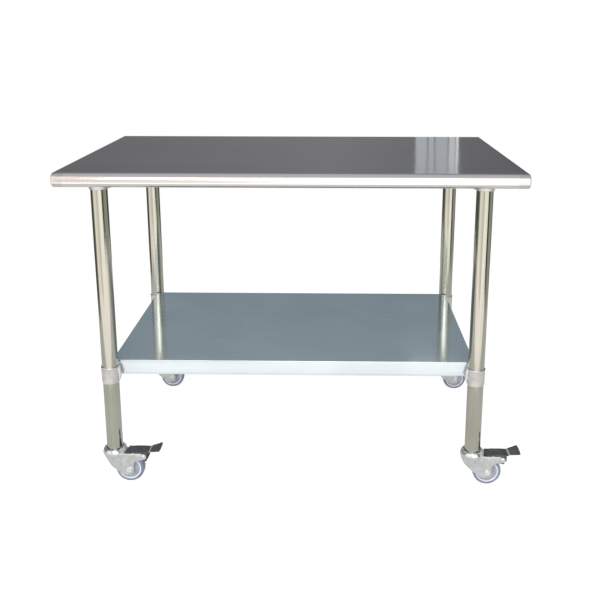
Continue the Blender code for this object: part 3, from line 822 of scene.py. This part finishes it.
blade = {
    "low": 0.0292, "high": 0.0888, "edge": 0.0005,
    "foot": ((0.036, 0.04), 0.0195, -125, -30, 20),
    "slots": (3, 4, 9, 10), "slotShift": (0.0003, 0.0034),      # points of the foot's arc, pressed in
    "brakedBack": mm([(54.8, 54.5), (56, 59.5), (59, 64), (64, 66.8)]),
    "ear": ((0.0825, 0.0785), 0.009, -75, 60, 14),
    "brakedTop": mm([(76.2, 88.2), (73.5, 88.8)]),
    "plainBack": mm([(53.5, 56), (50, 66), (43, 73), (33, 80), (28, 86), (25.5, 88.8)]),
}


def bladeOutline(braked):
    bottom = arc(*blade["foot"])
    for index in blade["slots"]:
        x, z = bottom[index]
        bottom[index] = (x + blade["slotShift"][0], z + blade["slotShift"][1])
    back = blade["brakedBack"] + arc(*blade["ear"]) + blade["brakedTop"] if braked else blade["plainBack"]
    return [(caster["fold"], blade["low"])] + bottom + back + [(caster["fold"], blade["high"])]


def sides(hand, pair):
    return sorted(hand * side for side in pair)


def makeFork(corner):
    node = "caster_fork_" + corner
    braked = "brake_pedal_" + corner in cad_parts
    inner, outer = caster["bladeInner"], caster["bladeOuter"]
    rows = housing["rows"]
    shell = loftShape([shellSection(housing["top"] - housing["tall"] * (i / rows)) for i in range(rows + 1)])
    bmesh.ops.bisect_plane(
        shell, geom=allOf(shell), dist=0.00001,
        plane_co=housing["cutPlace"], plane_no=housing["cutFacing"], clear_outer=True)
    thicken(shell, caster["sheet"], (-1, 0, 0))
    parts = [turnedShape(caster["dome"], 72), shell]
    axle = middleOf("tyre_" + corner) - swivelAxis(corner)
    for hand in (-1, 1):
        parts.append(plateShape(bladeOutline(braked), *sides(hand, (inner, outer)), blade["edge"]))
        # raised ring round the axle
        ring = moved(turnedShape(caster["axleRing"], 48), turn=alongY if hand < 0 else alongY.transposed())
        parts.append(moved(ring, (axle.x, hand * outer, axle.z)))
        near, far = sides(hand, caster["ridgeSides"])
        (x0, z0), (x1, z1) = caster["ridgeFrom"], caster["ridgeTo"][braked]
        parts.append(boxShape((x0, near, z0), (x1, far, z1), caster["ridgeEdge"], 4))
        if braked:
            parts.append(plateShape(caster["tab"], *sides(hand, caster["tabSides"]), caster["tabEdge"]))
    whole = joined(*parts)
    # faces on the ridge along the top of each cheek take the bright bolt finish
    for face in whole.faces:
        spot = face.calc_center_median()
        face.material_index = 1 if spot.z > caster["rubbed"] and spot.x > caster["fold"] else 0
    whole = moved(whole, swivelAxis(corner))
    makePiece("casterFork", whole, ["zinc", "bolt"], "swivel_" + corner, node)


tyre = {
    # radius, half width
    "side": mm([(30, 10.4), (32, 10.4), (32.1, 12.4), (32.6, 13), (34.5, 13)]),
    # distance in from the tread, half width
    "shoulder": mm([(2.6, 12.6), (1.2, 11.4), (0.4, 9.4), (0, 6.8), (0, 2.4)]),
}


def makeTyre(corner):
    node = "tyre_" + corner
    centre = middleOf(node)
    radius = centre.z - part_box(node)[0].z
    half = tyre["side"] + [(radius - inset, y) for inset, y in tyre["shoulder"]]
    profile = half + [(r, -y) for r, y in reversed(half)]
    bm = moved(turnedShape(profile, 96), centre, alongY)
    makePiece("tread", bm, "tread", "wheel_" + corner, node, 40)


hub = {
    # radius, half width
    "side": mm([
        (29.7, 10.2), (31.8, 10.6), (31.8, 12.7), (31.3, 13.3), (29.4, 13.4), (28.4, 13), (27.8, 11),
        (27.2, 9.8), (26.2, 9.6), (25.6, 10.3), (24.6, 10.3), (24, 9.3), (18.6, 8.6), (18, 9.3),
        (17.1, 9.3), (16.5, 8.4), (11.8, 8.4), (10.8, 14), (10.1, 15.6), (9.2, 15.9), (4.3, 15.9)]),
    "rimFrom": 0.0277, "spokes": 6, "spokeTurn": 0.26, "spokeEdge": 0.0005,
    "spokeLow": (0.011, -0.0011, 0.008), "spokeHigh": (0.029, 0.0011, 0.0101),
}


def makeHub(corner):
    node = "wheel_hub_" + corner
    centre = middleOf(node)
    wheel = turnedShape(hub["side"][::-1] + [(r, -y) for r, y in hub["side"]], 96)
    # shallow spokes on both sides of the web
    spokes = []
    for hand in (-1, 1):
        for index in range(hub["spokes"]):
            spoke = boxShape(hub["spokeLow"], hub["spokeHigh"], hub["spokeEdge"])
            turn = Matrix.Rotation(math.tau * index / hub["spokes"] + hub["spokeTurn"], 3, "Z")
            if hand < 0:
                turn = Matrix.Rotation(math.pi, 3, "X") @ turn
            spokes.append(moved(spoke, turn=turn))
    bm = moved(joined(wheel, *spokes), centre, alongY)
    for face in bm.faces:
        spot = face.calc_center_median() - centre
        face.material_index = 1 if math.hypot(spot.x, spot.z) > hub["rimFrom"] else 0
    makePiece("wheelHub", bm, ["disc", "rim"], "wheel_" + corner, node, 40)


axleBolt = {
    "stand": 0.0009, "shank": 0.004, "chamfer": 0.0006, "head": 0.0074, "headChamfer": 0.0007,
    "nutLow": 0.0004, "collarLow": 0.0012,
    # radius, distance out from the head's seat
    "washer": mm([(3, -0.6), (8.4, -0.6), (8.4, 0.3), (3, 0.3)]),
    # radius, distance below the nut's end
    "nutCollar": mm([(4.2, 1.4), (6.2, 1.4), (6, 0.4), (5.5, 0), (4.2, 0)]),
}


def makeAxle(corner):
    boltNode, nutNode = "axle_bolt_" + corner, "axle_nut_" + corner
    low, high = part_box(boltNode)
    axis = swivelAxis(corner)
    centre = Vector((middleOf(boltNode).x, axis.y, middleOf(boltNode).z))
    face, reach = caster["bladeOuter"] + axleBolt["stand"], high.y - axis.y
    radius, chamfer, size = axleBolt["shank"], axleBolt["chamfer"], axleBolt["head"]
    shank = turnedShape([
        (0, -face), (radius, -face), (radius, reach - chamfer), (radius - chamfer, reach), (0, reach)], 32)
    shank = moved(shank, turn=alongY.transposed())
    head = hexShape(size, face, axis.y - low.y, axleBolt["headChamfer"])
    washer = turnedShape([(r, face + out) for r, out in axleBolt["washer"]], 40)
    head, washer = moved(head, turn=alongY), moved(washer, turn=alongY)
    makePiece("axleBolt", moved(joined(shank, head, washer), centre), "bolt", "swivel_" + corner, boltNode)
    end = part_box(nutNode)[1].y - axis.y
    nut = hexShape(size, face - axleBolt["nutLow"], end - axleBolt["collarLow"], axleBolt["headChamfer"])
    ring = turnedShape([(r, end - below) for r, below in axleBolt["nutCollar"]], 32)
    nut = moved(joined(nut, ring), centre, alongY.transposed())
    makePiece("axleNut", nut, "bolt", "swivel_" + corner, nutNode)


pedal = {
    "half": 0.0205, "waist": 0.019, "toeHalf": 0.0268, "narrows": 0.08, "bend": 0.103, "rise": 0.008,
    "sheet": 0.002, "skirt": 0.0034, "skirtFade": 0.75, "foldEdge": 0.0009, "rowPitch": 0.003,
    "step": 0.055, "stepHalf": 0.0006, "stepDrop": 0.0007, "tipBow": 0.0022, "sag": 0.0004,
    # the riser before the toe, measured from the bend, and the span of the painted highlight on it
    "riser": 0.0024, "riserRows": (0.0042, 0.0024), "riserFrom": 0.002, "bare": (-0.005, 0.0006),
    "cheekSides": (0.014, 0.0164), "cheekEdge": 0.0005, "cheekFoot": ((0.0, 0.0), 0.0085, -118, -20, 8),
    "cheekFront": mm([(-12, 13), (-9, 2), (-7.6, -4.6)]),
    "cheekBack": mm([(9.6, 4), (11.5, 13)]),
}


def makePedal(corner):
    node = "brake_pedal_" + corner
    low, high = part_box(node)
    axis = swivelAxis(corner)
    near, tip = low.x - axis.x, high.x - axis.x
    top = high.z - pedal["rise"]
    half, waist, bend, riser = pedal["half"], pedal["waist"], pedal["bend"], pedal["riser"]
    step, edge = pedal["step"], pedal["stepHalf"]
    sections = []
    steps = [near, step - edge, step + edge, pedal["narrows"]]
    steps += [bend - row for row in pedal["riserRows"]] + [bend, tip]
    places = []
    for first, last in zip(steps, steps[1:]):
        count = max(1, int((last - first) / pedal["rowPitch"]))
        places += [first + (last - first) * index / count for index in range(count)]
    for x in places + [tip]:
        flare = max(0.0, (x - bend) / (tip - bend))
        taper = min(1.0, max(0.0, (x - pedal["narrows"]) / (bend - pedal["narrows"])))
        wide = half + (waist - half) * taper + (pedal["toeHalf"] - waist) * flare ** 0.9
        lift = riser + (pedal["rise"] - riser) * flare ** 1.15
        if x < bend - pedal["riserFrom"]:
            lift = 0.0
        if x < step:
            lift -= pedal["stepDrop"]
        # the tip is bowed and the sheet sags a little to both sides
        row = []
        for j in range(13):
            across = -1 + j / 6
            bow = -pedal["tipBow"] * across ** 4 * flare ** 3
            row.append((x + bow, across * wide, top + lift - pedal["sag"] * across ** 4))
        skirt = Vector((0, 0, pedal["skirt"] * (1 - pedal["skirtFade"] * taper)))
        sections.append([Vector(row[0]) - skirt] + row + [Vector(row[-1]) - skirt])
    plate = loftShape(sections)
    lengthways = [e for e in plate.edges if abs(e.verts[0].co.x - e.verts[1].co.x) > 0.0008]
    folds = [e for e in lengthways if len(e.link_faces) == 2 and e.calc_face_angle(0) > 1.0]
    bevelEdges(plate, folds, pedal["foldEdge"], 3)
    thicken(plate, pedal["sheet"], (0, 0, 1))
    pivot = middleOf("brake_pin_" + corner) - axis
    outline = pedal["cheekFront"] + arc(*pedal["cheekFoot"]) + pedal["cheekBack"]
    cheeks = []
    for hand in (-1, 1):
        cheek = plateShape(outline, *sides(hand, pedal["cheekSides"]), pedal["cheekEdge"])
        cheeks.append(moved(cheek, (pivot.x, 0, pivot.z)))
    whole = moved(joined(plate, *cheeks), axis)
    # painted highlight: the riser before the toe takes the bright bolt finish, where the bend would catch
    # the light
    start, end = (bend + offset for offset in pedal["bare"])
    for face in whole.faces:
        spot = face.calc_center_median() - axis
        face.material_index = 1 if start < spot.x < end and spot.z > top - pedal["sag"] else 0
    makePiece("brakePedal", whole, ["pedal", "bolt"], "pedal_" + corner, node, 28)


# radius, distance in from the pin's end
pinHead = mm([(0, 0), (1.8, 0.1), (3.4, 0.6), (4.5, 1.7), (4.5, 2.1), (3, 2.1)])


def makeBrakePin(corner):
    node = "brake_pin_" + corner
    low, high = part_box(node)
    reach = (high.y - low.y) / 2
    half = [(radius, reach - inset) for radius, inset in pinHead]
    bm = moved(turnedShape(half + [(r, -z) for r, z in reversed(half)], 32), middleOf(node), alongY)
    makePiece("brakePin", bm, "bolt", "swivel_" + corner, node)


brakeShoe = {
    "gap": 0.0026, "angles": range(20, 76, 5), "edge": 0.0007,
    "heelLow": (0.0922, -0.015, 0.0722), "heelHigh": (0.0956, 0.015, 0.0916), "heelEdge": 0.001,
}


def makeBrakeShoe(corner):
    node = "brake_shoe_" + corner
    low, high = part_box(node)
    axis = swivelAxis(corner)
    wheel = middleOf("tyre_" + corner)
    radius = wheel.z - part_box("tyre_" + corner)[0].z + brakeShoe["gap"]
    x0, x1, z0, z1 = low.x - axis.x, high.x - axis.x, low.z, high.z
    # the face over the tread follows the wheel
    face = []
    for angle in brakeShoe["angles"]:
        x = wheel.x - axis.x + radius * math.cos(math.radians(angle))
        z = wheel.z + radius * math.sin(math.radians(angle))
        if x0 < x < x1 and z0 < z < z1 - 0.001:
            face.append((x, z))
    outline = [(x1, z1), (x0, z1)] + face[::-1] + [(x1, z0)]
    block = plateShape(outline, low.y - axis.y, high.y - axis.y, brakeShoe["edge"])
    # heel bar behind the ears, hung from the pedal
    heel = boxShape(brakeShoe["heelLow"], brakeShoe["heelHigh"], brakeShoe["heelEdge"], 3)
    whole = moved(joined(block, heel), axis)
    makePiece("brakeShoe", whole, "rubber", "pedal_" + corner, node)


makeTopPanel()
for place in ("long", "left", "right"):
    makeChannel("top_channel_" + place, "channel" + titled(place), "frame")
makeShelfPanel()
makeChannel("shelf_channel", "channelShelf", "undershelf")
print("sheet pieces made")
for corner, (side, end) in corners.items():
    makeSocket(corner, side)
    makeSetScrew("socket_screw", corner, side, "frame")
    makeLeg(corner)
    makeCollar(corner, side, end)
    makeSetScrew("shelf_screw", corner, side, "undershelf")
    makeStem(corner)
    makeFork(corner)
    makeTyre(corner)
    makeHub(corner)
    makeAxle(corner)
    if "brake_pedal_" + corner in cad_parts:
        makePedal(corner)
        makeBrakePin(corner)
        makeBrakeShoe(corner)
    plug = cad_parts["caster_insert_" + corner]
    for holder in plug.material_slots:
        holder.material = materials["rubber"]
print("corner pieces made")


paleFloor = {
    "dark": rgb(0.4, 0.4, 0.4), "light": rgb(0.42, 0.42, 0.42), "roughness": 0.6,
    "fixed": {"Specular IOR Level": 0.1, "Emission Strength": 1.0},
}
studio = {
    "floorSize": 1.9, "floorDrop": 0.0002,
    # the floor's own glow, for the viewer and for the metal
    "floorSeen": rgb(0.86, 0.86, 0.86),
    "floorMirrored": rgb(0.36, 0.36, 0.35),
    "floorAhead": rgb(0.98, 0.93, 0.91),
    "ahead": (-0.95, -1.1),
    "backdrop": rgb(1.0, 1.0, 1.0),
}


def makeFloor():
    bm = bmesh.new()
    bmesh.ops.create_grid(bm, x_segments=2, y_segments=2, size=studio["floorSize"])
    mesh = bpy.data.meshes.new("floor")
    bm.to_mesh(mesh)
    bm.free()
    floor = bpy.data.objects.new("floor", mesh)
    floor.location = (0, 0, -studio["floorDrop"])
    bpy.context.scene.collection.objects.link(floor)
    material, place = startMaterial("paleFloor", paleFloor)
    speckle = noise(place, 6.0, 3.0)
    finishMaterial(material, paleFloor, tone(paleFloor, speckle), speckle * 0.1)
    seen = place.add("LightPath", out="Is Camera Ray")
    inFront = place.add("SeparateXYZ", sockets={"Vector": place}, out="Y").step(*studio["ahead"])
    glow = blend(inFront, studio["floorMirrored"], studio["floorAhead"])
    glow = blend(seen, glow, studio["floorSeen"])
    shader = material.node_tree.nodes["Principled BSDF"]
    material.node_tree.links.new(glow.socket, shader.inputs["Emission Color"])
    mesh.materials.append(material)


surround = {
    # azimuth stops, 0 = straight behind, 0.5 = the viewer's side, rising clockwise seen from above
    "azimuth": [
        (0.00, (0.23, 0.23, 0.24)), (0.1, (0.12, 0.12, 0.13)), (0.22, (0.08, 0.08, 0.08)),
        (0.28, (0.25, 0.25, 0.22)), (0.32, (1.3, 1.27, 1.15)), (0.42, (1.1, 1.02, 0.94)),
        (0.445, (0.86, 0.76, 0.72)), (0.475, (0.98, 0.9, 0.85)), (0.5, (1.45, 1.42, 1.38)),
        (0.6, (1.4, 1.39, 1.3)), (0.622, (1.1, 1.09, 1.00)),
        (0.632, (0.03, 0.03, 0.03)), (0.672, (0.03, 0.03, 0.03)), (0.69, (0.36, 0.36, 0.3)),
        (0.82, (0.48, 0.49, 0.42)), (0.86, (0.02, 0.02, 0.02)), (0.93, (0.08, 0.08, 0.09)),
        (1.00, (0.23, 0.23, 0.24))],
    "backHigh": rgb(0.22, 0.265, 0.3), "highFrom": (0.2, 0.29), "backFrom": (0.45, 0.75),
    "zenith": rgb(0.5, 0.5, 0.51), "zenithFrom": (0.62, 0.95),
    "low": rgb(0.6, 0.6, 0.58), "lowFrom": (0.45, 0.7),
}


def makeWorld():
    world = bpy.data.worlds.new("studio")
    bpy.context.scene.world = world
    world.use_nodes = True
    tree = world.node_tree
    tree.nodes.clear()
    start = Wire(tree)
    place = start.add("TexCoord", out="Generated")
    x, y, z = (start.add("SeparateXYZ", sockets={"Vector": place}, out=n) for n in "XYZ")
    turn = x.sum("ARCTAN2", -1 * x, y) / math.tau + 1.0
    around = turn.sum("FRACT", turn)
    ring = start.add("ValToRGB", {"stops": surround["azimuth"]}, {"Fac": around})
    high = z.step(*surround["highFrom"]) * y.step(*surround["backFrom"])
    room = blend(high, ring, surround["backHigh"])
    room = blend(z.step(*surround["zenithFrom"]), room, surround["zenith"])
    room = blend((0 - z).step(*surround["lowFrom"]), room, surround["low"])
    seen = start.add("LightPath", out="Is Camera Ray")
    colour = blend(seen, room, studio["backdrop"])
    shade = start.add("Background", sockets={"Color": colour, "Strength": 1.0})
    output = tree.nodes.new("ShaderNodeOutputWorld")
    tree.links.new(shade.socket, output.inputs["Surface"])


lamps = {
    # place, aim, width, height, watts, colour
    "frontBox": ((-0.25, -3.3, 2.45), (0, -0.3, 0.6), 2.3, 1.5, 46, (1.0, 0.985, 0.96)),
}
# narrow windows close behind the table that only the top reflects: place and aim in X, width, watts
slats = {
    "slatA": (0.471, 0.45, 0.049, 0.0155), "slatB": (0.5132, 0.49, 0.025, 0.008),
    "slatC": (0.5566, 0.52, 0.052, 0.016), "slatD": (0.6009, 0.55, 0.027, 0.012),
    "slatE": (0.6231, 0.57, 0.009, 0.007),
}
slatColours = {"slatD": (0.9, 0.96, 1.0), "slatE": (0.92, 0.97, 1.0)}
for name, (x, aim, wide, watts) in slats.items():
    colour = slatColours.get(name, (0.88, 0.95, 1.0))
    lamps[name] = ((x, 1.0, 1.08), (aim, 0, 0.9), wide, 0.3, watts, colour)


def makeLamps():
    for name, (place, aim, wide, tall, watts, colour) in lamps.items():
        data = bpy.data.lights.new(name, "AREA")
        data.shape = "RECTANGLE"
        data.size, data.size_y = wide, tall
        data.energy, data.color = watts, colour
        lamp = bpy.data.objects.new(name, data)
        lamp.location = place
        lamp.rotation_euler = (Vector(aim) - Vector(place)).to_track_quat("-Z", "Y").to_euler()
        lamp.visible_camera = False
        bpy.context.scene.collection.objects.link(lamp)


viewer = {
    "fromTable": (0.1061, -1.9836, 0.3529),    # from the middle of the top's front edge
    "yaw": -0.015, "pitch": 0.233, "roll": -0.001,
    "lens": 47.82, "sensor": 36.0, "shift": (-0.0332, -0.1333), "clip": (0.05, 60.0),
}


def makeCamera():
    low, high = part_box("top_panel")
    corner = Vector(((low.x + high.x) / 2, low.y, high.z))
    data = bpy.data.cameras.new("viewer")
    data.lens, data.sensor_width = viewer["lens"], viewer["sensor"]
    data.shift_x, data.shift_y = viewer["shift"]
    data.clip_start, data.clip_end = viewer["clip"]
    camera = bpy.data.objects.new("viewer", data)
    camera.location = corner + Vector(viewer["fromTable"])
    yaw, pitch, roll = viewer["yaw"], viewer["pitch"], viewer["roll"]
    forward = Vector((math.sin(yaw) * math.cos(pitch), math.cos(yaw) * math.cos(pitch), -math.sin(pitch)))
    turn = forward.to_track_quat("-Z", "Y").to_matrix()
    camera.rotation_euler = (turn @ Matrix.Rotation(-roll, 3, "Z")).to_euler()
    bpy.context.scene.collection.objects.link(camera)
    bpy.context.scene.camera = camera


makeFloor()
makeWorld()
makeLamps()
makeCamera()
bpy.context.scene.view_settings.view_transform = "Standard"
print("studio ready")
